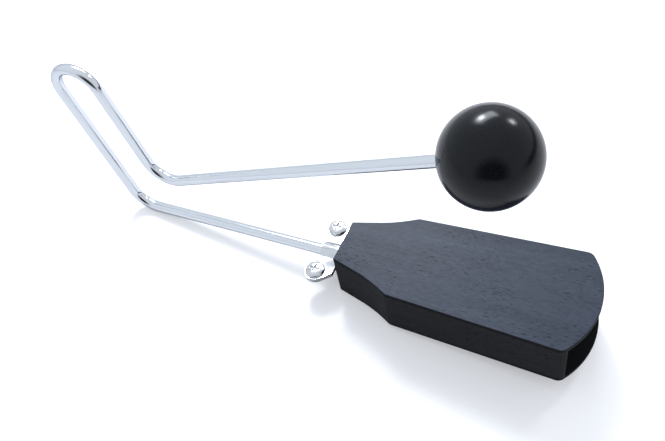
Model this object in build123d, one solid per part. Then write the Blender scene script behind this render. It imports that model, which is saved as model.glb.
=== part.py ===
from build123d import *
import os
from math import acos, cos, degrees, radians, sin, tan

# A vibraslap: a hollow wooden box and a wooden ball on the two ends of one bent steel rod.
# Striking the ball shakes the box, and loose rivets in a steel plate inside it rattle.
# Millimetres, +Z up. The origin is the middle of the box's underside, between its narrow end
# and the corners of its open end. +X points out of the open end. The part is symmetric about Y = 0.

# Resonator box
WALL_LENGTH = 140.7  # narrow end to the corners of the open end
END_BOW = 12.4  # how far the plates bow out past those corners
BOX_HEIGHT = 32.0
NARROW_WIDTH = 29.8
SHOULDER_WIDTH = 58.7
MOUTH_WIDTH = 67.8
NECK_LENGTH = 38.6  # narrow end to the shoulders
NECK_STRAIGHT = 16.7  # straight start of each neck side, before it sweeps out
NECK_ANGLE = 15.8  # degrees, of that straight to the box's axis
SHOULDER_RADIUS = 6.0
MOUTH_CORNER_RADIUS = 5.0
PLATE = 2.4  # thickness of the top and bottom plates
WALL = 2.8  # thickness of the side walls, across the box
EDGE_EASE = 0.5  # rounding of the plates' outer edges
BLOCK_LENGTH = 34.0  # neck block that closes the narrow end

# Bent rod
ROD_DIAMETER = 7.0
ROD_BEND_RADIUS = 16.0  # of the centre line, at both bends
ROD_BELOW_TOP = 15.5  # top of the box to the centre line of the box arm
ROD_END_INSET = 0.5  # end of the rod to the end of the clamp
BOX_ARM_LENGTH = 156.7  # narrow end to the corner of the lower bend
HANDLE_LEAN = 11.9  # degrees that the handle leans back from upright
HANDLE_SPACING = 32.0  # between the two legs of the handle
LONG_LEG = 99.8  # corner of the lower bend to the start of the loop
SHORT_LEG = 77.1  # end of the loop to the corner of the upper bend
BALL_ARM_RISE = 20.6  # degrees
BALL_ARM_LENGTH = 237.4  # corner of the upper bend to the ball's centre

# Ball
BALL_DIAMETER = 51.5
BALL_HOLE_PAST_CENTRE = 9.0
BALL_FIT = 0.05  # radial, round the rod
BALL_END_GAP = 0.3  # rod's end to the bottom of the hole
BALL_HOLE_BEVEL = 1.6  # deep, from the ball's pole

# Rod clamp: two pressed steel halves, of which the lower one runs on into the box
SHEET = 1.6
CLAMP_FIT = 0.05  # radial, round the rod
CLAMP_LENGTH = 12.9  # along the rod
CLAMP_GAP = 2.7  # clamp to the box's narrow end
CLAMP_FOOT_WIDTH = 14.0  # across the half-round and the flat feet beside it
FLANK_RADIUS = 2.0  # between the half-round and its feet
EAR_RADIUS = 7.0
EAR_SPACING = 34.5  # between the two screws
EAR_SETBACK = 13.4  # screws to the box's narrow end
CORNER_SPACING = 32.6  # between the two corners next to the box
CORNER_RADIUS = 1.5

# Clamp screws, lock washers and nuts
SCREW_DIAMETER = 5.0
SCREW_HEAD_DIAMETER = 12.2
SCREW_HEAD_HEIGHT = 2.6
SCREW_HEAD_ROUND = 2.0
SCREW_END = 0.8  # thread that shows past the nut
SCREW_HOLE_CLEARANCE = 0.25  # radial, in the sheet
THREAD_CLEARANCE = 0.05  # radial, in nuts and wood
RECESS_LENGTH = 5.8
RECESS_WIDTH = 1.3
RECESS_DEPTH = 1.5
WASHER_THICKNESS = 1.0
WASHER_WIDTH = 1.8
WASHER_SPLIT = 0.9
NUT_ACROSS_FLATS = 8.0
NUT_HEIGHT = 2.5

# Rattle plate inside the box, with its loose rivets
TONGUE_WIDTH = 12.0  # through the neck block
TONGUE_FIT = 0.1  # round the tongue, in the block's slot
RATTLE_WIDTH = 17.0
RATTLE_START = 3.0  # inner face of the block to the wider stretch
RATTLE_CORNER = 4.0
RIVET_COUNT = 8
RIVET_PITCH = 9.0
RIVET_FIRST = 10.0  # inner face of the block to the first rivet
RIVET_LAST = 7.0  # last rivet to the end of the plate
RIVET_DIAMETER = 3.0
RIVET_HOLE_CLEARANCE = 0.3  # radial: the rivets are loose
RIVET_HEAD_DIAMETER = 6.6
RIVET_HEAD_HEIGHT = 2.0
RIVET_HEAD_ROUND = 1.7
RIVET_FOOT_DIAMETER = 5.8
RIVET_FOOT_HEIGHT = 1.3
RIVET_TRAVEL = 8.0
RIVET_SEAT = 0.1  # head to plate at rest
RIVET_STOP = 0.3  # foot to plate at the top of the travel

# Wood screws that hold the tongue in the neck block, from the underside
WOOD_SCREW_DIAMETER = 3.5
WOOD_SCREW_HEAD_DIAMETER = 7.0
WOOD_SCREW_LENGTH = 22.0
WOOD_SCREW_POINT = 4.0
WOOD_SCREW_SINK = 0.3  # head below the surface
WOOD_SCREW_SETBACKS = (10.0, 26.0)  # from the narrow end

NARROW_X = -WALL_LENGTH / 2
MOUTH_X = WALL_LENGTH / 2
BLOCK_X = NARROW_X + BLOCK_LENGTH
ROD_Z = BOX_HEIGHT - ROD_BELOW_TOP
ROD_RADIUS = ROD_DIAMETER / 2
CLAMP_X = NARROW_X - CLAMP_GAP
EAR_X = NARROW_X - EAR_SETBACK
RATTLE_END_X = BLOCK_X + RIVET_FIRST + (RIVET_COUNT - 1) * RIVET_PITCH + RIVET_LAST
CAVITY_HEIGHT = BOX_HEIGHT - 2 * PLATE
SAME_PLACE = 0.01  # corners and edges nearer than this to a sought place are the ones meant
ALONG = (Align.MIN, Align.CENTER)
UPWARD = (Align.CENTER, Align.CENTER, Align.MIN)
DOWNWARD = (Align.CENTER, Align.CENTER, Align.MAX)


def side_points(inset):
    """Corners of the box's +Y side in plan, moved in by inset across the box."""
    narrow = Vector(NARROW_X, NARROW_WIDTH / 2 - inset)
    lean = Vector(cos(radians(NECK_ANGLE)), sin(radians(NECK_ANGLE)))
    neck = narrow + lean * NECK_STRAIGHT
    shoulder = Vector(NARROW_X + NECK_LENGTH, SHOULDER_WIDTH / 2 - inset)
    mouth = Vector(MOUTH_X, MOUTH_WIDTH / 2 - inset)
    return narrow, neck, shoulder, mouth, lean


def plan_face(inset, end_edges):
    """Face between the two long sides, closed by the narrow end and by end_edges."""
    narrow, neck, shoulder, mouth, lean = side_points(inset)
    side = [Line(narrow, neck), TangentArc(neck, shoulder, tangent=lean), Line(shoulder, mouth)]
    mirrored = [mirror(edge, Plane.XZ) for edge in side]
    narrow_end = Line(narrow, (narrow.X, -narrow.Y))
    face = make_face([*side, *mirrored, narrow_end, *end_edges])
    shoulders = [v for v in face.vertices() if abs(v.X - shoulder.X) < SAME_PLACE]
    return fillet(shoulders, SHOULDER_RADIUS)


def outer_face():
    """Outline of the plates: bowed at the open end, with rounded corners."""
    mouth = side_points(0)[3]
    bow = ThreePointArc(mouth, (MOUTH_X + END_BOW, 0), (mouth.X, -mouth.Y))
    face = plan_face(0, [bow])
    corners = [v for v in face.vertices() if abs(v.X - MOUTH_X) < SAME_PLACE]
    return fillet(corners, MOUTH_CORNER_RADIUS)


def inner_face():
    """Room between the side walls, from the narrow end out through the open end."""
    shoulder, mouth = side_points(WALL)[2:4]
    flare = (mouth.Y - shoulder.Y) / (mouth.X - shoulder.X)
    reach = END_BOW + WALL
    outside = Vector(mouth.X + reach, mouth.Y + flare * reach)
    run_out = Line(mouth, outside)
    across = Line(outside, (outside.X, -outside.Y))
    return plan_face(WALL, [run_out, mirror(run_out, Plane.XZ), across])


def wood_screw_places():
    return [Pos(NARROW_X + setback, 0, 0) for setback in WOOD_SCREW_SETBACKS]


def eased_plate(z, eased_side):
    """One plate of the box, its outer edges eased on the side that shows."""
    plate = Pos(0, 0, z) * extrude(outer_face(), PLATE)
    shown = plate.faces().sort_by(Axis.Z)[eased_side]
    return fillet(shown.edges(), EDGE_EASE)


def box_top_plate():
    return eased_plate(BOX_HEIGHT - PLATE, -1)


def box_bottom_plate():
    """Lower plate, countersunk for the wood screws."""
    plate = eased_plate(0, 0)
    for place in wood_screw_places():
        plate -= place * wood_screw_hole()
    return plate


def side_walls():
    """The two bent walls, left (+Y) first."""
    rim = outer_face() - inner_face()
    walls = [Pos(0, 0, PLATE) * extrude(face, CAVITY_HEIGHT) for face in rim.faces()]
    return sorted(walls, key=lambda wall: -wall.center().Y)


def neck_block():
    """Wooden block that closes the narrow end, slotted for the rattle plate's tongue."""
    stock = Pos(NARROW_X, 0) * Rectangle(BLOCK_LENGTH, MOUTH_WIDTH, align=ALONG)
    block = Pos(0, 0, PLATE) * extrude(inner_face() & stock, CAVITY_HEIGHT)
    slot = Rectangle(BLOCK_LENGTH, TONGUE_WIDTH + 2 * TONGUE_FIT, align=ALONG)
    slot_bottom = ROD_Z - SHEET - TONGUE_FIT
    block -= Pos(NARROW_X, 0, slot_bottom) * extrude(slot, SHEET + 2 * TONGUE_FIT)
    for place in wood_screw_places():
        block -= place * wood_screw_hole()
    return block


def wood_screw_solid(clearance):
    """Countersunk wood screw, point up and head just under the surface, grown by clearance."""
    radius = WOOD_SCREW_DIAMETER / 2
    head = WOOD_SCREW_HEAD_DIAMETER / 2
    outline = Polyline(
        (0, WOOD_SCREW_SINK),
        (head + clearance, WOOD_SCREW_SINK),
        (radius + clearance, WOOD_SCREW_SINK + head - radius),
        (radius + clearance, WOOD_SCREW_LENGTH - WOOD_SCREW_POINT),
        (0, WOOD_SCREW_LENGTH + clearance),
        close=True,
    )
    return revolve(Plane.XZ * make_face(outline), Axis.Z)


def wood_screw_hole():
    """Room for a wood screw, open to the underside."""
    radius = WOOD_SCREW_HEAD_DIAMETER / 2 + THREAD_CLEARANCE
    return wood_screw_solid(THREAD_CLEARANCE) + Cylinder(radius, WOOD_SCREW_SINK, align=UPWARD)


def neck_screws():
    """Two wood screws, each with a cross recess in its head."""
    recess = cross_recess(WOOD_SCREW_HEAD_DIAMETER / 2, Align.MIN)
    screw = wood_screw_solid(0) - Pos(0, 0, WOOD_SCREW_SINK) * recess
    return [place * screw for place in wood_screw_places()]


def cross_recess(length, align):
    """Two crossed slots that a cross-point driver fits."""
    slot = Box(length, RECESS_WIDTH, RECESS_DEPTH, align=(Align.CENTER, Align.CENTER, align))
    return slot + Rot(0, 0, 90) * slot


def corner_arc(before, corner, after):
    """Tangent arc of the rod's bend radius at a corner of its centre line."""
    back = (before - corner).normalized()
    ahead = (after - corner).normalized()
    half_angle = radians(back.get_angle(ahead)) / 2
    tangent_length = ROD_BEND_RADIUS / tan(half_angle)
    to_middle = (back + ahead).normalized() * (ROD_BEND_RADIUS / sin(half_angle) - ROD_BEND_RADIUS)
    start = corner + back * tangent_length
    end = corner + ahead * tangent_length
    return ThreePointArc(start, corner + to_middle, end)


def handle_points():
    """Corners of the rod's centre line, from the clamp round the handle to the upper bend."""
    up = Vector(-sin(radians(HANDLE_LEAN)), 0, cos(radians(HANDLE_LEAN)))
    across = Vector(up.Z, 0, -up.X)
    clamped_end = Vector(NARROW_X - CLAMP_GAP - ROD_END_INSET, 0, ROD_Z)
    lower_bend = Vector(NARROW_X - BOX_ARM_LENGTH, 0, ROD_Z)
    loop_start = lower_bend + up * LONG_LEG
    loop_top = loop_start + (across + up) * (HANDLE_SPACING / 2)
    loop_end = loop_start + across * HANDLE_SPACING
    upper_bend = loop_end - up * SHORT_LEG
    return clamped_end, lower_bend, loop_start, loop_top, loop_end, upper_bend


def ball_arm_point(length):
    """Point of the ball arm's centre line, at a length from the corner of the upper bend."""
    along = Vector(cos(radians(BALL_ARM_RISE)), 0, sin(radians(BALL_ARM_RISE)))
    return handle_points()[-1] + along * length


def spring_rod():
    """One round steel rod: box arm, lower bend, handle loop, upper bend and ball arm."""
    clamped_end, lower_bend, loop_start, loop_top, loop_end, upper_bend = handle_points()
    tip = ball_arm_point(BALL_ARM_LENGTH + BALL_HOLE_PAST_CENTRE - BALL_END_GAP)
    lower_arc = corner_arc(clamped_end, lower_bend, loop_start)
    upper_arc = corner_arc(loop_end, upper_bend, tip)
    path = Wire(
        [
            Line(clamped_end, lower_arc @ 0),
            lower_arc,
            Line(lower_arc @ 1, loop_start),
            ThreePointArc(loop_start, loop_top, loop_end),
            Line(loop_end, upper_arc @ 0),
            upper_arc,
            Line(upper_arc @ 1, tip),
        ]
    )
    section = Plane(origin=path @ 0, z_dir=path % 0) * Circle(ROD_RADIUS)
    return sweep(section, path=path)


def wooden_ball():
    """Turned ball with a blind hole for the rod, bevelled at its mouth."""
    centre = ball_arm_point(BALL_ARM_LENGTH)
    pole = ball_arm_point(BALL_ARM_LENGTH - BALL_DIAMETER / 2)
    entry = Plane(origin=pole, z_dir=centre - pole)
    radius = ROD_RADIUS + BALL_FIT
    hole = Cylinder(radius, BALL_DIAMETER / 2 + BALL_HOLE_PAST_CENTRE, align=UPWARD)
    bevel = Cone(radius + BALL_HOLE_BEVEL, radius, BALL_HOLE_BEVEL, align=UPWARD)
    return Pos(*centre) * Sphere(BALL_DIAMETER / 2) - entry * hole - entry * bevel


def ear_places(z):
    return [Pos(EAR_X, side * EAR_SPACING / 2, z) for side in (1, -1)]


def ear_touch(corner, turn):
    """Where the edge from a corner touches the rim of the +Y ear; turn picks the side."""
    centre = Vector(EAR_X, EAR_SPACING / 2)
    reach = corner - centre
    swing = degrees(acos(EAR_RADIUS / reach.length))
    return centre + reach.normalized().rotate(Axis.Z, turn * swing) * EAR_RADIUS


def clamp_outline():
    """Plan of a clamp half: straight along the rod, and tapering to a round ear at each side."""
    foot = Vector(CLAMP_X - CLAMP_LENGTH, CLAMP_FOOT_WIDTH / 2)
    corner = Vector(CLAMP_X, CORNER_SPACING / 2)
    side = [foot, ear_touch(foot, -1), ear_touch(corner, 1), corner]
    mirrored = [Vector(point.X, -point.Y) for point in reversed(side)]
    outline = make_face(Polyline(*side, *mirrored, close=True))
    for place in ear_places(0):
        outline += place * Circle(EAR_RADIUS)
    sharp = [
        v
        for v in outline.vertices()
        if (Vector(v.X, abs(v.Y)) - foot).length < SAME_PLACE
        or (Vector(v.X, abs(v.Y)) - corner).length < SAME_PLACE
    ]
    outline = fillet(sharp, CORNER_RADIUS)
    for place in ear_places(0):
        outline -= place * Circle(SCREW_DIAMETER / 2 + SCREW_HOLE_CLEARANCE)
    return outline


def clamp_half():
    """Upper half at Z = 0 on the rod's axis: flat ears and a half-round over the rod."""
    inner_radius = ROD_RADIUS + CLAMP_FIT
    outer_radius = inner_radius + SHEET
    middle = Pos(CLAMP_X - CLAMP_LENGTH / 2, 0, 0)
    lying = middle * Rot(0, 90, 0)
    upper_room = middle * Box(CLAMP_LENGTH, EAR_SPACING, EAR_SPACING, align=UPWARD)
    half_round = (lying * Cylinder(outer_radius, CLAMP_LENGTH)) & upper_room
    half = extrude(clamp_outline(), SHEET) + half_round
    flanks = [
        edge
        for edge in half.edges().filter_by(Axis.X)
        if abs(edge.center().Z - SHEET) < SAME_PLACE and abs(edge.center().Y) < outer_radius
    ]
    half = fillet(flanks, FLANK_RADIUS)
    return half - lying * Cylinder(inner_radius, CLAMP_LENGTH)


def clamp_saddle():
    return Pos(0, 0, ROD_Z) * clamp_half()


def rivet_places():
    first = BLOCK_X + RIVET_FIRST
    return [Pos(first + i * RIVET_PITCH, 0, ROD_Z) for i in range(RIVET_COUNT)]


def rattle_plate():
    """Lower clamp half with a tongue through the neck block and a row of rivet holes in the box."""
    tongue_start = CLAMP_X - SHEET
    wide_start = BLOCK_X + RATTLE_START
    tongue_length = wide_start + RATTLE_CORNER - tongue_start
    tongue = Pos(tongue_start, 0) * Rectangle(tongue_length, TONGUE_WIDTH, align=ALONG)
    wide_length = RATTLE_END_X - wide_start
    wide = RectangleRounded(wide_length, RATTLE_WIDTH, RATTLE_CORNER, align=ALONG)
    blade = Pos(0, 0, ROD_Z - SHEET) * extrude(tongue + Pos(wide_start, 0) * wide, SHEET)
    rod_room = Cylinder(ROD_RADIUS + CLAMP_FIT, CLAMP_LENGTH, align=DOWNWARD)
    blade -= Pos(CLAMP_X, 0, ROD_Z) * Rot(0, 90, 0) * rod_room
    plate = Pos(0, 0, ROD_Z) * mirror(clamp_half(), Plane.XY) + blade
    rivet_hole = Cylinder(RIVET_DIAMETER / 2 + RIVET_HOLE_CLEARANCE, BOX_HEIGHT)
    for place in rivet_places():
        plate -= place * rivet_hole
    screw_hole = Cylinder(WOOD_SCREW_DIAMETER / 2 + SCREW_HOLE_CLEARANCE, BOX_HEIGHT, align=UPWARD)
    for place in wood_screw_places():
        plate -= place * screw_hole
    return plate


def rattle_rivet():
    """Loose rivet at Z = 0 on the plate's upper face: round head, shank and clenched foot."""
    head = Cylinder(RIVET_HEAD_DIAMETER / 2, RIVET_HEAD_HEIGHT, align=UPWARD)
    head = fillet(head.edges().sort_by(Axis.Z)[-1], RIVET_HEAD_ROUND)
    shank_length = RIVET_SEAT + SHEET + RIVET_TRAVEL + RIVET_STOP
    shank = Cylinder(RIVET_DIAMETER / 2, shank_length, align=DOWNWARD)
    foot = Cylinder(RIVET_FOOT_DIAMETER / 2, RIVET_FOOT_HEIGHT, align=DOWNWARD)
    return Pos(0, 0, RIVET_SEAT) * (head + shank + Pos(0, 0, -shank_length) * foot)


def clamp_screws():
    """Two pan-head machine screws, down through both clamp halves, the washers and the nuts."""
    head = Cylinder(SCREW_HEAD_DIAMETER / 2, SCREW_HEAD_HEIGHT, align=UPWARD)
    head = fillet(head.edges().sort_by(Axis.Z)[-1], SCREW_HEAD_ROUND)
    shank_length = 2 * SHEET + WASHER_THICKNESS + NUT_HEIGHT + SCREW_END
    screw = head + Cylinder(SCREW_DIAMETER / 2, shank_length, align=DOWNWARD)
    screw -= Pos(0, 0, SCREW_HEAD_HEIGHT) * cross_recess(RECESS_LENGTH, Align.MAX)
    return [place * screw for place in ear_places(ROD_Z + SHEET)]


def clamp_lock_washers():
    """Two split spring washers between the lower ears and the nuts."""
    inner = SCREW_DIAMETER / 2 + SCREW_HOLE_CLEARANCE
    outer = inner + WASHER_WIDTH
    ring = Circle(outer) - Circle(inner) - Rectangle(2 * outer, WASHER_SPLIT, align=ALONG)
    washer = extrude(ring, -WASHER_THICKNESS)
    return [place * washer for place in ear_places(ROD_Z - SHEET)]


def clamp_nuts():
    """Two hexagon nuts under the washers."""
    corner_radius = NUT_ACROSS_FLATS / 2 / cos(radians(30))
    plan = RegularPolygon(corner_radius, 6) - Circle(SCREW_DIAMETER / 2 + THREAD_CLEARANCE)
    nut = extrude(plan, -NUT_HEIGHT)
    return [place * nut for place in ear_places(ROD_Z - SHEET - WASHER_THICKNESS)]


def parts():
    """Every node by name; a list is one node of several like solids."""
    left_wall, right_wall = side_walls()
    nodes = {
        "spring_rod": spring_rod(),
        "wooden_ball": wooden_ball(),
        "box_top_plate": box_top_plate(),
        "box_bottom_plate": box_bottom_plate(),
        "box_left_wall": left_wall,
        "box_right_wall": right_wall,
        "neck_block": neck_block(),
        "clamp_saddle": clamp_saddle(),
        "rattle_plate": rattle_plate(),
        "clamp_screws": clamp_screws(),
        "clamp_lock_washers": clamp_lock_washers(),
        "clamp_nuts": clamp_nuts(),
        "neck_screws": neck_screws(),
    }
    for number, place in enumerate(rivet_places(), start=1):
        nodes[f"rattle_rivet_{number}"] = place * rattle_rivet()
    return nodes


os.makedirs("parts", exist_ok=True)
for name, shape in parts().items():
    solids = shape if isinstance(shape, list) else [shape]
    export_step(Compound(children=solids) if len(solids) > 1 else solids[0], f"parts/{name}.step")
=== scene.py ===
import bmesh
import bpy
import numpy as np
from math import cos, pi, radians, sin, tan
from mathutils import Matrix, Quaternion, Vector


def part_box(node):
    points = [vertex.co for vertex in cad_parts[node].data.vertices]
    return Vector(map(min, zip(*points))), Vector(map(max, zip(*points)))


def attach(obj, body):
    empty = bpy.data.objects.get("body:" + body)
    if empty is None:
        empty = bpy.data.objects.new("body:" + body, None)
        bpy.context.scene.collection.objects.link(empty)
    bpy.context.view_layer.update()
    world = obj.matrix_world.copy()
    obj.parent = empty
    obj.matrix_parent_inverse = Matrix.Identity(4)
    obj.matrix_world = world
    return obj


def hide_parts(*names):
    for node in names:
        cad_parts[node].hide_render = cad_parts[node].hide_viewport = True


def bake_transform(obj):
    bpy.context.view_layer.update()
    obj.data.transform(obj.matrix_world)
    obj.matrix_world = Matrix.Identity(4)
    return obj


# A vibraslap lying on a white table: a hollow wooden box and a wooden ball on the two ends of
# one bent chromed rod. Metres, +Z up, +X out of the box's open end, symmetric about Y = 0.
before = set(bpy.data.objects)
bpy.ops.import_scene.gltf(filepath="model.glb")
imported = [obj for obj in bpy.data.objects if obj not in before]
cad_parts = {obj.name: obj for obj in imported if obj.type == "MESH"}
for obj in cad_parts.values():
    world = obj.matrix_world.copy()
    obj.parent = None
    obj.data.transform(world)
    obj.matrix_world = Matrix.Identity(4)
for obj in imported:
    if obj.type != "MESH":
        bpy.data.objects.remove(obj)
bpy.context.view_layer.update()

# The spring rod is one cold-drawn steel rod, bent round a former in three places and then chromed.
# The box arm is clamped to the box, the loop is the handle, and the ball arm rings when struck.
# It is two skins that meet where the upper bend ends, because only the ball arm bends in use.
box_low, box_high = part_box("box_top_plate")
ball_low, ball_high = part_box("wooden_ball")
ball_centre = (np.array(ball_low) + np.array(ball_high)) / 2
ball_radius = (ball_high.z - ball_low.z) / 2
narrow_x = box_low.x
rod_radius = 0.0035
rod_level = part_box("clamp_saddle")[0].z
clamp_gap = 0.0027
rod_end_inset = 0.0005
bend_radius = 0.016
handle_lean = radians(11.9)
handle_spacing = 0.032
box_arm_length = 0.1567
long_leg = 0.0998
short_leg = 0.0771
ball_arm_rise = radians(20.6)
ball_hole_past_centre = 0.009
end_ease = 0.0006
bend_flattening = 0.025
rod_around = 64
bend_points = 28
loop_points = 32
box_arm_steps = 60
long_leg_steps = 36
short_leg_steps = 26
ball_arm_steps = 110
weld_distance = 1e-7
sharp_edge = radians(50)
sideways = np.array([0.0, 1.0, 0.0])
leg_up = np.array([-sin(handle_lean), 0, cos(handle_lean)])
leg_across = np.array([cos(handle_lean), 0, sin(handle_lean)])
arm_along = np.array([cos(ball_arm_rise), 0, sin(ball_arm_rise)])
clamped_end = np.array([narrow_x - clamp_gap - rod_end_inset, 0, rod_level])
lower_corner = np.array([narrow_x - box_arm_length, 0, rod_level])
loop_start = lower_corner + leg_up * long_leg
loop_end = loop_start + leg_across * handle_spacing
upper_corner = loop_end - leg_up * short_leg
arm_tip = ball_centre + arm_along * (ball_hole_past_centre - end_ease)


def straight(start, end, count):
    """Points spaced evenly from start to end, without the end itself."""
    share = np.linspace(0, 1, count, endpoint=False)[:, None]
    return np.asarray(start) * (1 - share) + np.asarray(end) * share


def arc(centre, first, last, radius, count):
    """Points on a circle in the XZ plane, from the direction first to the direction last.

    Each is centre + radius (sin((1 - t) b) first + sin(t b) last) / sin b, with b the angle between them.
    """
    share = np.linspace(0, 1, count)[:, None]
    between = np.arccos(np.clip(np.dot(first, last), -1, 1))
    turned = (np.sin((1 - share) * between) * first + np.sin(share * between) * last) / sin(between)
    return centre + radius * turned


def bend(before, corner, after, radius, count):
    """The arc of a radius that rounds off a corner of the centre line and touches both its sides."""
    back = (before - corner) / np.linalg.norm(before - corner)
    ahead = (after - corner) / np.linalg.norm(after - corner)
    middle = (back + ahead) / np.linalg.norm(back + ahead)
    half_angle = np.arccos(np.dot(back, ahead)) / 2
    centre = corner + middle * radius / sin(half_angle)
    reach = radius / tan(half_angle)
    first = (corner + back * reach - centre) / radius
    last = (corner + ahead * reach - centre) / radius
    return arc(centre, first, last, radius, count)


def closed_skin(name, rings, lengths, loop=False):
    """A closed mesh from rings[i, j], with i along the piece and j round it.

    Neighbouring rings are joined by quads, and the round closes on itself. The first and last rings are
    single points that become poles; in a loop the last ring is joined to the first one instead.
    The UV map holds the length along the piece and the share round it.
    """
    count, around = rings.shape[:2]
    here = np.arange(around)
    after = (here + 1) % around
    share, next_share = here / around, (here + 1) / around
    low = np.arange(count if loop else count - 1)
    high = (low + 1) % count
    corners = np.stack(np.broadcast_arrays(
        low[:, None] * around + here, low[:, None] * around + after,
        high[:, None] * around + after, high[:, None] * around + here), axis=-1).reshape(-1, 4)
    low_length, high_length = lengths[low][:, None], lengths[low + 1][:, None]
    corner_uv = np.stack(np.broadcast_arrays(
        low_length, share, low_length, next_share, high_length, next_share, high_length, share),
        axis=-1).reshape(-1, 4, 2)
    mesh = bpy.data.meshes.new(name)
    mesh.from_pydata(rings.reshape(-1, 3), [], corners)
    layer = mesh.uv_layers.new(name="UVMap")
    layer.data.foreach_set("uv", corner_uv.ravel())
    shape = bmesh.new()
    shape.from_mesh(mesh)
    bmesh.ops.remove_doubles(shape, verts=shape.verts, dist=weld_distance)
    shape.to_mesh(mesh)
    shape.free()
    mesh.shade_smooth()
    mesh.set_sharp_from_angle(angle=sharp_edge)
    piece = bpy.data.objects.new(name, mesh)
    bpy.context.collection.objects.link(piece)
    return piece


def rod_skin(name, centres, eased_start, eased_end):
    """A round section of the rod's radius carried along centres, which lie in the plane Y = 0.

    Each ring is centre + radius (cos a Y + sin a (T x Y)), with T the way along the rod. Where the rod
    bends, the ring is a little flatter in the plane of the bend. An eased end narrows by end_ease.
    """
    steps = np.linalg.norm(np.diff(centres, axis=0), axis=1)
    lengths = np.concatenate([[0], np.cumsum(steps)])
    along = np.gradient(centres, lengths, axis=0)
    along /= np.linalg.norm(along, axis=1)[:, None]
    curvature = np.linalg.norm(np.gradient(along, lengths, axis=0), axis=1)
    flat = 1 - bend_flattening * np.clip(curvature * bend_radius, 0, 1)
    outward = np.cross(along, sideways)
    angle = np.linspace(0, 2 * pi, rod_around, endpoint=False)[None, :, None]
    section = np.cos(angle) * sideways + np.sin(angle) * outward[:, None] * flat[:, None, None]
    rings = centres[:, None] + section * rod_radius
    if eased_start:
        narrowed = centres[0] + section[0] * (rod_radius - end_ease)
        rings = np.concatenate([narrowed[None] - along[0] * end_ease, rings])
        lengths = np.concatenate([[lengths[0] - end_ease], lengths])
    if eased_end:
        narrowed = centres[-1] + section[-1] * (rod_radius - end_ease)
        rings = np.concatenate([rings, narrowed[None] + along[-1] * end_ease])
        lengths = np.concatenate([lengths, [lengths[-1] + end_ease]])
    first_pole = np.broadcast_to(rings[0].mean(axis=0), rings[:1].shape)
    last_pole = np.broadcast_to(rings[-1].mean(axis=0), rings[:1].shape)
    rings = np.concatenate([first_pole, rings, last_pole])
    lengths = np.concatenate([[lengths[0] - rod_radius], lengths, [lengths[-1] + rod_radius]])
    return closed_skin(name, rings, lengths)


lower_bend = bend(clamped_end, lower_corner, loop_start, bend_radius, bend_points)
upper_bend = bend(loop_end, upper_corner, arm_tip, bend_radius, bend_points)
loop_centre = (loop_start + loop_end) / 2
loop_half = arc(loop_centre, -leg_across, leg_up, handle_spacing / 2, loop_points)
loop_rest = arc(loop_centre, leg_up, leg_across, handle_spacing / 2, loop_points)[1:]
handle_line = np.vstack([
    straight(clamped_end - [end_ease, 0, 0], lower_bend[0], box_arm_steps),
    lower_bend[:-1],
    straight(lower_bend[-1], loop_start, long_leg_steps),
    loop_half,
    loop_rest[:-1],
    straight(loop_end, upper_bend[0], short_leg_steps),
    upper_bend,
])
rod_handle = rod_skin("rod_handle", handle_line, eased_start=True, eased_end=False)
ball_arm_line = np.vstack([straight(upper_bend[-1], arm_tip, ball_arm_steps), arm_tip[None]])
rod_ball_arm = rod_skin("rod_ball_arm", ball_arm_line, eased_start=False, eased_end=True)


def add_node(tree, kind, settings, inputs):
    """One shader node with its settings; an input that is a socket is linked, another is set."""
    node = tree.nodes.new("ShaderNode" + kind)
    for name, value in settings.items():
        setattr(node, name, value)
    for name, value in inputs.items():
        if isinstance(value, bpy.types.NodeSocket):
            tree.links.new(value, node.inputs[name])
        else:
            node.inputs[name].default_value = value
    return node


def ramp(tree, factor, stops):
    """A colour ramp with the given (place, colour) stops."""
    node = add_node(tree, "ValToRGB", {}, {"Fac": factor})
    elements = node.color_ramp.elements
    while len(elements) < len(stops):
        elements.new(0.5)
    for element, (place, colour) in zip(elements, stops):
        element.position = place
        element.color = (*colour, 1)
    return node.outputs["Color"]


def remap(tree, value, low, high, to_low=0.0, to_high=1.0, smooth=False):
    """A value carried from the range low to high into another range, evenly or with soft ends."""
    settings = {"interpolation_type": "SMOOTHSTEP" if smooth else "LINEAR"}
    inputs = {"Value": value, "From Min": low, "From Max": high, "To Min": to_low, "To Max": to_high}
    return add_node(tree, "MapRange", settings, inputs).outputs[0]


def noise(tree, place, scale, detail, roughness=0.5):
    """A cloudy pattern from 0 to 1 over a place."""
    inputs = {"Vector": place, "Scale": scale, "Detail": detail, "Roughness": roughness}
    return add_node(tree, "TexNoise", {}, inputs).outputs["Fac"]


def stretched(tree, vector, scales):
    """A vector with each of its three parts multiplied by its own scale."""
    return add_node(tree, "VectorMath", {"operation": "MULTIPLY"}, {0: vector, 1: scales}).outputs[0]


def bump(tree, height, strength, distance, normal=None):
    """A normal that follows a height, over another bump's normal where one is given."""
    inputs = {"Strength": strength, "Distance": distance, "Height": height}
    if normal is not None:
        inputs["Normal"] = normal
    return add_node(tree, "Bump", {}, inputs).outputs[0]


def new_material(name):
    """A material with a plain Principled shader; returns it, its tree and that shader."""
    material = bpy.data.materials.new(name)
    material.use_nodes = True
    tree = material.node_tree
    return material, tree, tree.nodes["Principled BSDF"]


def new_group(name, sockets):
    """A shader node group with (name, in or out, kind, value) sockets; returns tree, input, output."""
    group = bpy.data.node_groups.new(name, "ShaderNodeTree")
    for label, side, kind, value in sockets:
        socket = group.interface.new_socket(label, in_out=side, socket_type="NodeSocket" + kind)
        if value is not None:
            socket.default_value = value
    return group, group.nodes.new("NodeGroupInput").outputs, group.nodes.new("NodeGroupOutput").inputs


def use_group(tree, group, inputs):
    """Places a shader node group in a material, with its own values."""
    return add_node(tree, "Group", {"node_tree": group}, inputs).outputs


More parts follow.
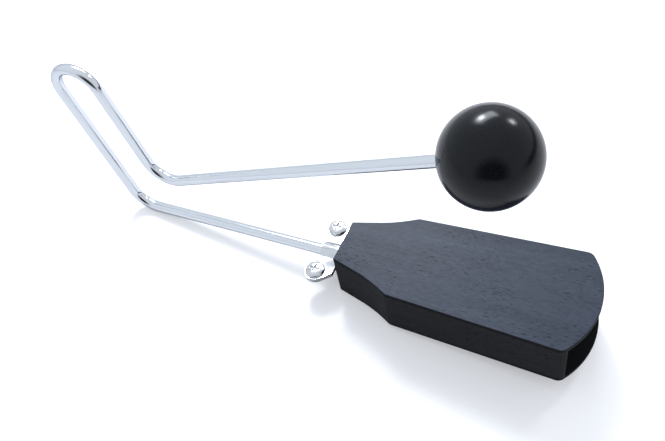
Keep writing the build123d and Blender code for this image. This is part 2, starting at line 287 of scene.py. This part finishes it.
# Handling marks: finger haze as a soft cloud, and polishing scratches as a finer noise that can be
# drawn out along one way. Plated and lacquered pieces take their tone, roughness and relief from it.
handling, given, taken = new_group("handling_marks", [
    ("Vector", "INPUT", "Vector", None),
    ("Cloud Scale", "INPUT", "Float", 40.0),
    ("Scratch Scale", "INPUT", "Vector", (400.0, 400.0, 400.0)),
    ("Clean", "INPUT", "Float", 0.05),
    ("Hazed", "INPUT", "Float", 0.12),
    ("Roughness", "OUTPUT", "Float", None),
    ("Scratches", "OUTPUT", "Float", None),
])
cloud = noise(handling, given["Vector"], scale=given["Cloud Scale"], detail=3.0, roughness=0.55)
haze = remap(handling, cloud, low=0.38, high=0.66, to_low=given["Clean"], to_high=given["Hazed"])
drawn_out = stretched(handling, given["Vector"], given["Scratch Scale"])
scratch = noise(handling, drawn_out, scale=1.0, detail=4.0, roughness=0.65)
sharper = remap(handling, scratch, low=0.35, high=0.7)
handling.links.new(haze, taken["Roughness"])
handling.links.new(sharper, taken["Scratches"])


def dimmed(tree, colour, share):
    """A colour times a share."""
    return add_node(tree, "VectorMath", {"operation": "SCALE"}, {0: colour, "Scale": share}).outputs[0]


def mark(tree, shader, place, cloud_scale, scratch_scale, clean, hazed, dull_tone, bright_tone, shade=None):
    """Gives a shader its tone and roughness from the handling marks at a place; returns the scratches.

    The tone goes from dull to bright with the scratches, times the shade where one is given. The
    roughness goes from clean to hazed with the finger haze.
    """
    marks = use_group(tree, handling, {
        "Vector": place, "Cloud Scale": cloud_scale, "Scratch Scale": scratch_scale,
        "Clean": clean, "Hazed": hazed})
    tone = ramp(tree, marks["Scratches"], [(0.0, dull_tone), (1.0, bright_tone)])
    if shade is not None:
        tone = dimmed(tree, tone, shade)
    tree.links.new(tone, shader.inputs["Base Color"])
    tree.links.new(marks["Roughness"], shader.inputs["Roughness"])
    return marks["Scratches"]


# Chrome plate on the rod: a bright bluish mirror, with draw lines along the rod and finger haze. The
# plating went on after the bending, so it covers both skins alike.
rod_chrome, tree, chrome = new_material("rod_chrome")
rod_map = add_node(tree, "UVMap", {"uv_map": "UVMap"}, {}).outputs["UV"]
scratches = mark(
    tree, chrome, rod_map, cloud_scale=26.0, scratch_scale=(70.0, 160.0, 1.0), clean=0.035, hazed=0.1,
    dull_tone=(0.66, 0.69, 0.73), bright_tone=(0.72, 0.745, 0.78))
chrome.inputs["Metallic"].default_value = 1.0
chrome.inputs["Specular Tint"].default_value = (0.5, 0.53, 0.58, 1.0)
draw_lines = bump(tree, scratches, strength=0.05, distance=0.0001)
tree.links.new(draw_lines, chrome.inputs["Normal"])
for piece in (rod_handle, rod_ball_arm):
    piece.data.materials.append(rod_chrome)
    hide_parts("spring_rod")
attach(rod_handle, "box_and_rod")
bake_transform(rod_ball_arm)

# The ball is turned from one block of close-grained wood, bored for the rod, glued on and lacquered
# black. The hole has a small bevel, and the lacquer has a faint ripple and wears a soft sheen.
hole_radius = 0.00355
hole_bevel = 0.0011
ball_around = 160
ball_rings = 120


def object_place(tree):
    """The place on a piece in the part's own frame."""
    return add_node(tree, "TexCoord", {}, {}).outputs["Object"]


def revolved(name, base, axis, first_side, radii, heights, around):
    """A profile of radii and heights turned about an axis through base.

    Each point is base + height axis + radius (cos a e + sin a (axis x e)), with e the way that
    first_side points. Radii and heights are lists, or grids that also change round the axis.
    The profile starts and ends on the axis.
    """
    angle = np.linspace(0, 2 * pi, around, endpoint=False)[None, :, None]
    ring = np.cos(angle) * first_side + np.sin(angle) * np.cross(axis, first_side)
    radii = radii if radii.ndim == 2 else radii[:, None]
    heights = heights if heights.ndim == 2 else heights[:, None]
    rings = np.asarray(base) + heights[:, :, None] * axis + radii[:, :, None] * ring
    steps = np.hypot(np.diff(radii, axis=0), np.diff(heights, axis=0)).mean(axis=1)
    return closed_skin(name, rings, np.concatenate([[0], np.cumsum(steps)]))


rim_radius = hole_radius + hole_bevel
rim_angle = np.arcsin(rim_radius / ball_radius)
latitude = np.linspace(rim_angle, pi, ball_rings)
rim_height = -ball_radius * cos(rim_angle)
ball_radii = np.concatenate([[0, hole_radius, hole_radius], ball_radius * np.sin(latitude[:-1]), [0]])
ball_heights = np.concatenate([
    [ball_hole_past_centre, ball_hole_past_centre, rim_height + hole_bevel],
    -ball_radius * np.cos(latitude[:-1]),
    [ball_radius],
])
ball = revolved("ball", ball_centre, arm_along, sideways, ball_radii, ball_heights, ball_around)
ball_lacquer, tree, lacquer = new_material("ball_lacquer")
scratches = mark(
    tree, lacquer, object_place(tree), cloud_scale=55.0, scratch_scale=(900.0, 900.0, 900.0),
    clean=0.16, hazed=0.21, dull_tone=(0.004, 0.004, 0.005), bright_tone=(0.007, 0.007, 0.008))
lacquer.inputs["Specular IOR Level"].default_value = 0.22
lacquer.inputs["Specular Tint"].default_value = (0.88, 0.94, 1.0, 1.0)
ripple = bump(tree, scratches, strength=0.04, distance=0.0002)
tree.links.new(ripple, lacquer.inputs["Normal"])
ball.data.materials.append(ball_lacquer)
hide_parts("wooden_ball")
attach(ball, "ball")

# The resonator box is glued up from two plates, two bent walls and a neck block of an open-grained
# wood, sanded with eased edges and stained black under a thin satin coat that leaves the pores open.
band_stretch = (9.0, 95.0, 95.0)
fibre_relief = 0.35


def calculate(tree, operation, *values):
    """The result of one step of arithmetic on up to three numbers or sockets."""
    return add_node(tree, "Math", {"operation": operation}, dict(enumerate(values))).outputs[0]


open_grain, given, taken = new_group("open_grain", [
    ("Vector", "INPUT", "Vector", None),
    ("Fibre Scale", "INPUT", "Vector", (260.0, 1050.0, 1050.0)),
    ("Pore Scale", "INPUT", "Vector", (320.0, 1150.0, 1150.0)),
    ("Fibres", "OUTPUT", "Float", None),
    ("Pores", "OUTPUT", "Float", None),
    ("Bands", "OUTPUT", "Float", None),
    ("Height", "OUTPUT", "Float", None),
])
fibre_place = stretched(open_grain, given["Vector"], given["Fibre Scale"])
fibres = noise(open_grain, fibre_place, scale=1.0, detail=5.0, roughness=0.6)
pore_place = stretched(open_grain, given["Vector"], given["Pore Scale"])
pore_noise = noise(open_grain, pore_place, scale=1.0, detail=1.0)
pore_spots = remap(open_grain, pore_noise, low=0.61, high=0.69, smooth=True)
drifts = noise(open_grain, given["Vector"], scale=27.0, detail=1.0)
drift_mask = remap(open_grain, drifts, low=0.33, high=0.62, smooth=True)
pores = calculate(open_grain, "MULTIPLY", pore_spots, drift_mask)
band_place = stretched(open_grain, given["Vector"], band_stretch)
bands = noise(open_grain, band_place, scale=1.0, detail=2.0)
raised = calculate(open_grain, "MULTIPLY", fibres, fibre_relief)
sunk = calculate(open_grain, "SUBTRACT", raised, pores)
for socket, label in ((fibres, "Fibres"), (pores, "Pores"), (bands, "Bands"), (sunk, "Height")):
    open_grain.links.new(socket, taken[label])

# The stain lies deeper in the pores. The flat outer faces were rubbed out to a satin, and the sides and the
# inside were left duller, so the coat follows the normal. The colour also holds painted light: the flat
# outer faces take a lighter, bluish tone than the sides as a painted sheen, the inside is darkened as
# painted shade, and a band along the plates' long edges is darkened as a painted dark reflection.
fibre_share = 0.75
fibre_floor = 0.125
band_share = 0.5
pore_share = 0.5
rough_plain = 0.66
rough_worn = 0.1
# This share darkens the inside of the box as painted shade.
inside_shade_tone = 0.3
# This share darkens the plates' long edges as a painted dark reflection.
edge_reflection_tone = 0.35
box_middle = box_high.z / 2
plate_from_middle = box_low.z - box_middle
seam_blur = 0.0001


def part_of(tree, vector, axis):
    """One of a vector's three parts, by the name of its axis."""
    return add_node(tree, "SeparateXYZ", {}, {0: vector}).outputs[axis]


def toward(tree, vector, way):
    """How far a vector goes along a way: their dot product."""
    return add_node(tree, "VectorMath", {"operation": "DOT_PRODUCT"}, {0: vector, 1: way}).outputs["Value"]


def unsigned(tree, vector):
    """A vector with each of its three parts made positive."""
    return add_node(tree, "VectorMath", {"operation": "ABSOLUTE"}, {0: vector}).outputs[0]


def surface_normal(tree):
    """The way that a surface faces."""
    return add_node(tree, "NewGeometry", {}, {}).outputs["Normal"]


box_stain, tree, stain = new_material("box_stain")
place = object_place(tree)
grain = use_group(tree, open_grain, {"Vector": place})
calm_fibres = calculate(tree, "MULTIPLY_ADD", grain["Fibres"], fibre_share, fibre_floor)
calm_bands = calculate(tree, "MULTIPLY", grain["Bands"], band_share)
mixed = calculate(tree, "ADD", calm_fibres, calm_bands)
worn = calculate(tree, "MULTIPLY_ADD", grain["Pores"], -pore_share, mixed)
# Painted sheen: the flat outer faces get a lighter, bluish tone than the sides and the inside.
painted_sheen_tone = ramp(tree, worn, [
    (0.2, (0.003, 0.006, 0.012)), (0.6, (0.009, 0.016, 0.033)), (1.0, (0.017, 0.028, 0.054))])
shaded_side_tone = ramp(tree, worn, [
    (0.2, (0.005, 0.005, 0.006)), (0.6, (0.0135, 0.0135, 0.0155)), (1.0, (0.022, 0.022, 0.025))])
facing = surface_normal(tree)
flat = calculate(tree, "ABSOLUTE", part_of(tree, facing, "Z"))
rubbed = remap(tree, flat, low=0.55, high=0.95, smooth=True)
from_middle = add_node(tree, "VectorMath", {"operation": "MULTIPLY_ADD"},
                       {0: place, 1: (0, 1, 1), 2: (0, 0, -box_middle)}).outputs[0]
outside = remap(tree, toward(tree, from_middle, facing), low=-0.002, high=-0.0005)
coat_and_sheen_share = calculate(tree, "MULTIPLY", rubbed, outside)
painted_sheen_mix = add_node(tree, "Mix", {"data_type": "RGBA"},
                 {"Factor": coat_and_sheen_share, 6: shaded_side_tone, 7: painted_sheen_tone}).outputs[2]
# Painted shade: the inside faces of the box are darkened.
inside_painted_shade = remap(tree, outside, low=0.0, high=1.0, to_low=inside_shade_tone, to_high=1.0)
# Painted dark reflection: a dark band on the plates' edges along the long sides.
plate_edge = remap(tree, part_of(tree, unsigned(tree, from_middle), "Z"),
                   low=plate_from_middle - seam_blur, high=plate_from_middle + seam_blur)
long_side = part_of(tree, stretched(tree, facing, facing), "Y")
edge_reflection_band = calculate(tree, "MULTIPLY", plate_edge, long_side)
painted_edge_reflection = remap(tree, edge_reflection_band, low=0.0, high=1.0, to_low=1.0, to_high=edge_reflection_tone)
tone = dimmed(tree, painted_sheen_mix, calculate(tree, "MULTIPLY", inside_painted_shade, painted_edge_reflection))
patchy = remap(tree, worn, low=0.2, high=1.1, to_low=0.22, to_high=0.60)
satin = calculate(tree, "MULTIPLY", coat_and_sheen_share, patchy)
gloss = calculate(tree, "MULTIPLY_ADD", worn, -rough_worn, rough_plain)
relief = bump(tree, grain["Height"], strength=0.3, distance=0.0001)
stain.inputs["Specular IOR Level"].default_value = 0.06
stain.inputs["Coat Roughness"].default_value = 0.5
tree.links.new(tone, stain.inputs["Base Color"])
tree.links.new(satin, stain.inputs["Coat Weight"])
tree.links.new(gloss, stain.inputs["Roughness"])
tree.links.new(relief, stain.inputs["Normal"])
for name in ("box_top_plate", "box_bottom_plate", "box_left_wall", "box_right_wall", "neck_block"):
    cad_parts[name].material_slots[0].material = box_stain

# The clamp is two halves pressed from sheet steel, a little wavy from the press, and nickel plated: the
# saddle over the rod, and under it the rattle plate, whose tongue runs through the neck block into the
# box. The upright rims of the sheet near the joint, where the two halves meet, are darkened as painted shade.
# Painted shade on the upright rims of the sheet near the joint.
rim_shade_tone = 0.62
sheet_low = 0.0015
sheet_high = 0.0019
clamp_plate, tree, plating = new_material("clamp_plate")
place = object_place(tree)
flat = part_of(tree, unsigned(tree, surface_normal(tree)), "Z")
rim = remap(tree, flat, low=0.3, high=0.7, to_low=1.0, to_high=0.0)
from_joint = add_node(tree, "VectorMath", {"operation": "SUBTRACT"},
                      {0: place, 1: (0, 0, rod_level)}).outputs[0]
joint_height = part_of(tree, unsigned(tree, from_joint), "Z")
in_sheet = remap(tree, joint_height, low=sheet_low, high=sheet_high, to_low=1.0, to_high=0.0)
rim_shade_band = calculate(tree, "MULTIPLY", rim, in_sheet)
rim_shade = remap(tree, rim_shade_band, low=0.0, high=1.0, to_low=1.0, to_high=rim_shade_tone)
scratches = mark(
    tree, plating, place, cloud_scale=120.0, scratch_scale=(300.0, 2600.0, 2600.0), clean=0.15, hazed=0.24,
    dull_tone=(0.60, 0.61, 0.64), bright_tone=(0.68, 0.69, 0.71), shade=rim_shade)
rubbed = bump(tree, scratches, strength=0.1, distance=0.0001)
waves = noise(tree, place, scale=75.0, detail=0.0)
pressed = bump(tree, waves, strength=0.8, distance=0.003, normal=rubbed)
plating.inputs["Metallic"].default_value = 1.0
tree.links.new(pressed, plating.inputs["Normal"])
for name in ("clamp_saddle", "rattle_plate"):
    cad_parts[name].material_slots[0].material = clamp_plate

# Two pan-head screws close the clamp. Each is cold headed, with a driver's cross pressed into a low
# dome, has a rolled thread, and is zinc plated like its lock washer and nut. The two wood screws that
# hold the tongue in the neck block have the same plating.
fastener_zinc, tree, zinc = new_material("fastener_zinc")
mark(tree, zinc, object_place(tree), cloud_scale=260.0, scratch_scale=(1500.0, 1500.0, 1500.0),
     clean=0.16, hazed=0.28, dull_tone=(0.56, 0.57, 0.59), bright_tone=(0.66, 0.67, 0.69))
zinc.inputs["Metallic"].default_value = 1.0
screws_low, screws_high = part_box("clamp_screws")
washers_low, washers_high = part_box("clamp_lock_washers")
nuts_low, nuts_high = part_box("clamp_nuts")
head_radius = (screws_high.x - screws_low.x) / 2
head_height = 0.0026
head_base = screws_high.z - head_height
head_side = 0.0006
head_bevel = 0.0003
ear_x = (screws_low.x + screws_high.x) / 2
ear_y = screws_high.y - head_radius
shank_radius = 0.0025
thread_pitch = 0.0008
thread_depth = 0.0004
thread_steps = 8
recess_reach = 0.0029
recess_half = 0.00065
recess_depth = 0.0015
recess_slope = 0.0004
recess_rise = 0.5
dome_spread = 0.8
dome_rise = 0.9
crown_share = 0.62
crown_rings = 40
shoulder_rings = 18
fastener_around = 96
lengthways = np.array([1.0, 0.0, 0.0])
upward = np.array([0.0, 0.0, 1.0])


def smooth_step(share):
    """An even step from 0 to 1 without corners: t t (3 - 2 t)."""
    share = np.clip(share, 0, 1)
    return share * share * (3 - 2 * share)


def cross_dent(x, y):
    """Depth of a driver's cross: two crossed slots with sloping walls, shallower towards their ends."""
    across = np.minimum(np.abs(x), np.abs(y))
    out = np.maximum(np.abs(x), np.abs(y))
    wall = smooth_step((recess_half - across) / recess_slope + 0.5)
    end = smooth_step((recess_reach - out) / recess_slope + 0.5)
    return recess_depth * wall * end * (1 - recess_rise * (out / recess_reach) ** 2)


def all_round(column):
    """A grid with the same column of values all round a fastener."""
    return np.repeat(np.reshape(column, (-1, 1)), fastener_around, axis=1)


def clamp_screw(name, y):
    """A pan-head screw: dome with a cross, flat underside, and a helical thread down to a bevelled end.

    The dome is a flattened quarter round, whose radius and height are powers of sin and cos, less the
    depth of the cross. The thread's radius falls evenly from each crest and rises back to the next, and
    the crest climbs one pitch in a turn.
    """
    angle = np.linspace(0, 2 * pi, fastener_around, endpoint=False)[None, :]
    crown = np.linspace(0, crown_share, crown_rings)
    shoulder = np.linspace(crown_share, 1, shoulder_rings)[1:]
    slope = np.concatenate([crown, shoulder]) * pi / 2
    dome_radii = all_round(head_radius * np.sin(slope) ** dome_spread)
    dome_heights = all_round(head_side + (head_height - head_side) * np.cos(slope) ** dome_rise)
    dome_heights = dome_heights - cross_dent(dome_radii * np.cos(angle), dome_radii * np.sin(angle))
    under_radii = all_round([head_radius, head_radius - head_bevel, shank_radius])
    under_heights = all_round([head_bevel, 0, 0])
    tip = screws_low.z - head_base
    down = np.arange(0, tip, -thread_pitch / thread_steps)[:, None]
    turn = np.abs(2 * ((down / thread_pitch + angle / (2 * pi)) % 1) - 1)
    bevel = np.clip((down - tip) / thread_depth, 0, 1)
    thread_radii = shank_radius - thread_depth * np.maximum(turn, 1 - bevel)
    end_radii = all_round([shank_radius - thread_depth, 0])
    radii = np.vstack([dome_radii, under_radii, thread_radii, end_radii])
    heights = np.vstack([dome_heights, under_heights, all_round(down), all_round([tip, tip])])
    return revolved(name, (ear_x, y, head_base), upward, lengthways, radii, heights, fastener_around)


# A split lock washer lies between each lower ear and its nut: a bar of spring steel with rounded
# corners, coiled to one turn, cut off and zinc plated. It keeps the nut from working loose.
washer_width = 0.0018
washer_split = 0.0009
washer_rings = 90
bar_around = 24
bar_squareness = 0.25


def lock_washer(name, y):
    """A spring washer: a rounded bar bent into a ring that stays open by a small split.

    The bar's section is a rounded square, half a side times cos or sin to a small power.
    """
    thickness = washers_high.z - washers_low.z
    outer = washers_high.y - ear_y
    split = washer_split / outer
    turn = np.linspace(split / 2, 2 * pi - split / 2, washer_rings)
    angle = np.linspace(0, 2 * pi, bar_around, endpoint=False)
    bar_x = np.sign(np.cos(angle)) * np.abs(np.cos(angle)) ** bar_squareness * washer_width / 2
    bar_z = np.sign(np.sin(angle)) * np.abs(np.sin(angle)) ** bar_squareness * thickness / 2
    outward = np.stack([np.cos(turn), np.sin(turn), np.zeros_like(turn)], axis=-1)
    middle = np.array([ear_x, y, washers_low.z + thickness / 2])
    rings = middle + outward[:, None] * (outer - washer_width / 2 + bar_x)[None, :, None]
    rings = rings + upward * bar_z[None, :, None]
    poles = np.broadcast_to(rings.mean(axis=1, keepdims=True), rings.shape)
    rings = np.concatenate([poles[:1], rings, poles[-1:]])
    lengths = np.concatenate([[0], turn, [2 * pi]]) * outer
    return closed_skin(name, rings, lengths)


# A hexagon nut pulls each screw tight from below. It is cut from hexagon bar, with its corners turned
# off on both faces and its hole bevelled, and zinc plated.
nut_face = 0.95
nut_chamfer = radians(30)
nut_clearance = 0.00005
nut_bevel = 0.0004


def hexagon_nut(name, y):
    """A hexagon nut with its corners turned off above and below, and a bevelled hole.

    The outside is apothem / cos of the angle from the middle of each flat. A cone turns it off, so the
    corners start lower than the flats.
    """
    angle = np.linspace(0, 2 * pi, fastener_around, endpoint=False)
    even = np.zeros_like(angle)
    apothem = (nuts_high.y - nuts_low.y) / 2 - ear_y
    outside = apothem / np.cos(angle % (pi / 3) - pi / 6)
    face = nut_face * apothem
    turned = (outside - face) * tan(nut_chamfer)
    height = nuts_high.z - nuts_low.z
    hole = shank_radius + nut_clearance
    mouth = hole + nut_bevel
    radii = np.stack([hole + even, mouth + even, face + even, outside,
                      outside, face + even, mouth + even, hole + even])
    heights = np.stack([even - nut_bevel, even, even, -turned,
                        turned - height, even - height, even - height, even + nut_bevel - height])
    ring = np.stack([np.cos(angle), np.sin(angle), even], axis=-1)
    middle = np.array([ear_x, y, nuts_high.z])
    rings = middle + radii[:, :, None] * ring + heights[:, :, None] * upward
    girth = 4 * height
    return closed_skin(name, rings, np.linspace(0, girth, len(radii) + 1), loop=True)


for side, y in (("left", ear_y), ("right", -ear_y)):
    for piece, node in ((clamp_screw(f"clamp_screw_{side}", y), "clamp_screws"),
                        (lock_washer(f"lock_washer_{side}", y), "clamp_lock_washers"),
                        (hexagon_nut(f"clamp_nut_{side}", y), "clamp_nuts")):
        piece.data.materials.append(fastener_zinc)
        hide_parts(node)
        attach(piece, "box_and_rod")
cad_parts["neck_screws"].material_slots[0].material = fastener_zinc

# Eight loose rivets of plain steel hang in the rattle plate's holes, each with a domed head, a long
# shank, and a foot that was clenched after it went in. Wear keeps the heads bright.
rivet_steel, tree, steel = new_material("rivet_steel")
mark(tree, steel, object_place(tree), cloud_scale=320.0, scratch_scale=(1800.0, 1800.0, 1800.0),
     clean=0.22, hazed=0.42, dull_tone=(0.50, 0.50, 0.51), bright_tone=(0.68, 0.68, 0.68))
steel.inputs["Metallic"].default_value = 1.0
rivet_shank = 0.0015
rivet_foot = 0.0029
rivet_foot_height = 0.0013
rivet_foot_bulge = rivet_foot_height / 4
rivet_head_height = 0.002
rivet_around = 48
rivet_count = 8
dome_rings = 16
foot_rings = 14
dome = np.linspace(0, pi / 2, dome_rings)
barrel = np.linspace(-pi / 2, pi / 2, foot_rings)
for number in range(1, rivet_count + 1):
    low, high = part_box(f"rattle_rivet_{number}")
    head = (high.x - low.x) / 2
    length = high.z - low.z
    foot_rim = rivet_foot - rivet_foot_bulge
    radii = np.concatenate([
        head * np.sin(dome), [rivet_shank, rivet_shank], foot_rim + rivet_foot_bulge * np.cos(barrel), [0]])
    heights = np.concatenate([
        length - rivet_head_height * (1 - np.cos(dome)),
        [length - rivet_head_height, rivet_foot_height],
        rivet_foot_height / 2 * (1 - np.sin(barrel)),
        [0],
    ])
    base = ((low.x + high.x) / 2, 0, low.z)
    rivet = revolved(f"rivet_{number}", base, upward, lengthways, radii, heights, rivet_around)
    rivet.data.materials.append(rivet_steel)
    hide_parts(f"rattle_rivet_{number}")
    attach(rivet, f"rivet_{number}")

# The table is a pale board. The part lies tipped back on the lower bend of its rod and on the lower
# edge of the box's narrow end, so in the part's frame the table leans by table_slope. It can't be
# seen from below.
bend_centre_x = lower_bend[0][0]
bend_centre_z = rod_level + bend_radius
bend_outside = bend_radius + rod_radius
table_slope = (bend_centre_z - bend_outside) / (narrow_x - bend_centre_x)
table_reach = 3.0
direct_lift = 0.3
mirrored_lift = 0.06
table_edge = np.array([-table_reach, table_reach])
table_x, table_y = np.meshgrid(table_edge, table_edge)
table_points = np.stack([table_x, table_y, -table_slope * (table_x - narrow_x)], axis=-1).reshape(-1, 3)
table_mesh = bpy.data.meshes.new("table")
table_mesh.from_pydata(table_points, [], [(0, 1, 3, 2)])
table = bpy.data.objects.new("table", table_mesh)
bpy.context.collection.objects.link(table)
table_white, tree, board = new_material("table_white")
ray = add_node(tree, "LightPath", {}, {}).outputs
seen = calculate(tree, "MAXIMUM", ray["Is Camera Ray"], ray["Is Glossy Ray"])
pale = ramp(tree, seen, [(0.0, (0.82, 0.82, 0.82)), (1.0, (0.71, 0.71, 0.735))])
mirrored = calculate(tree, "MULTIPLY", ray["Is Glossy Ray"], mirrored_lift)
lift = calculate(tree, "MULTIPLY_ADD", ray["Is Camera Ray"], direct_lift, mirrored)
from_below = add_node(tree, "NewGeometry", {}, {}).outputs["Backfacing"]
solid = calculate(tree, "SUBTRACT", 1.0, from_below)
board.inputs["Roughness"].default_value = 0.9
board.inputs["Specular IOR Level"].default_value = 0.0
board.inputs["Emission Color"].default_value = (1, 1, 1, 1)
tree.links.new(pale, board.inputs["Base Color"])
tree.links.new(lift, board.inputs["Emission Strength"])
tree.links.new(solid, board.inputs["Alpha"])
table.data.materials.append(table_white)

# Studio light: a large soft box behind and above with a bright core, and a smaller one beside it and
# lower. A pale surround is brightest on the left, with a dark band low behind on the right and a dark
# patch in front.
aim = Vector(ball_centre)
lamp_tint = (0.94, 0.97, 1.0)


def soft_box(name, direction, distance, width, height, radiance, roll=0.0):
    """An area lamp that faces the part from a direction, rolled about it, with an even radiance."""
    lamp = bpy.data.lights.new(name, "AREA")
    lamp.shape = "RECTANGLE"
    lamp.size, lamp.size_y = width, height
    lamp.energy = radiance * pi * width * height
    lamp.color = lamp_tint
    light = bpy.data.objects.new(name, lamp)
    bpy.context.collection.objects.link(light)
    way = Vector(direction).normalized()
    light.location = aim + way * distance
    light.rotation_mode = "QUATERNION"
    light.rotation_quaternion = way.to_track_quat("Z", "Y") @ Quaternion((0, 0, 1), roll)


soft_box("key_soft_box", direction=(-0.32, 0.665, 0.675), distance=1.3, width=0.8, height=0.36,
         radiance=10.0, roll=radians(34))
soft_box("key_core", direction=(-0.41, 0.615, 0.674), distance=1.28, width=0.22, height=0.13,
         radiance=80.0, roll=radians(34))
soft_box("low_soft_box", direction=(0.32, 0.76, 0.56), distance=1.5, width=0.22, height=0.17, radiance=38.0)
bright_way = (-0.8, 0.1, 0.6)
right_way = (0.5, 0.866, 0)
front_way = (0.36, -0.92, 0.15)
surround_strength = 1.03
world = bpy.data.worlds.new("studio")
bpy.context.scene.world = world
world.use_nodes = True
tree = world.node_tree
tree.nodes.clear()
way = add_node(tree, "TexCoord", {}, {}).outputs["Generated"]
side_share = remap(tree, toward(tree, way, bright_way), low=-0.6, high=1.0)
surround = ramp(tree, side_share, [
    (0.0, (0.80, 0.83, 0.88)), (0.44, (0.80, 0.83, 0.88)),
    (0.8, (0.86, 0.92, 1.0)), (1.0, (0.88, 0.94, 1.0))])
dark_band = remap(tree, part_of(tree, way, "Z"), low=0.0, high=0.09, to_low=0.06, to_high=1.0, smooth=True)
right_share = remap(tree, toward(tree, way, right_way), low=0.25, high=0.7, smooth=True)
skyline = add_node(tree, "Mix", {}, {"Factor": right_share, 2: 1.0, 3: dark_band}).outputs[0]
dark_patch = remap(tree, toward(tree, way, front_way), low=0.74, high=0.96, to_low=1.0, to_high=0.04,
                   smooth=True)
shaded = dimmed(tree, surround, calculate(tree, "MULTIPLY", skyline, dark_patch))
studio = add_node(tree, "Background", {}, {"Color": shaded, "Strength": surround_strength})
white = add_node(tree, "Background", {}, {"Color": (1, 1, 1, 1), "Strength": 1.0})
ray = add_node(tree, "LightPath", {}, {}).outputs
chosen = add_node(tree, "MixShader", {}, {0: ray["Is Camera Ray"], 1: studio.outputs[0], 2: white.outputs[0]})
add_node(tree, "OutputWorld", {}, {"Surface": chosen.outputs[0]})

# The camera looks down on the part from the right of the open end, rolled a little, with a lens that
# takes in the whole part.
camera_spot = Vector((0.09877, -0.24954, 0.39531))
camera_way = Vector((-0.37598, 0.54193, -0.75164))
camera_roll = radians(-13.75)
camera_data = bpy.data.cameras.new("camera")
camera_data.sensor_width = 36.0
camera_data.lens = 41.99
camera_data.clip_start = 0.01
camera = bpy.data.objects.new("camera", camera_data)
bpy.context.collection.objects.link(camera)
camera.location = camera_spot
camera.rotation_mode = "QUATERNION"
camera.rotation_quaternion = camera_way.to_track_quat("-Z", "Y") @ Quaternion((0, 0, 1), camera_roll)
bpy.context.scene.camera = camera
bpy.context.scene.view_settings.view_transform = "Standard"
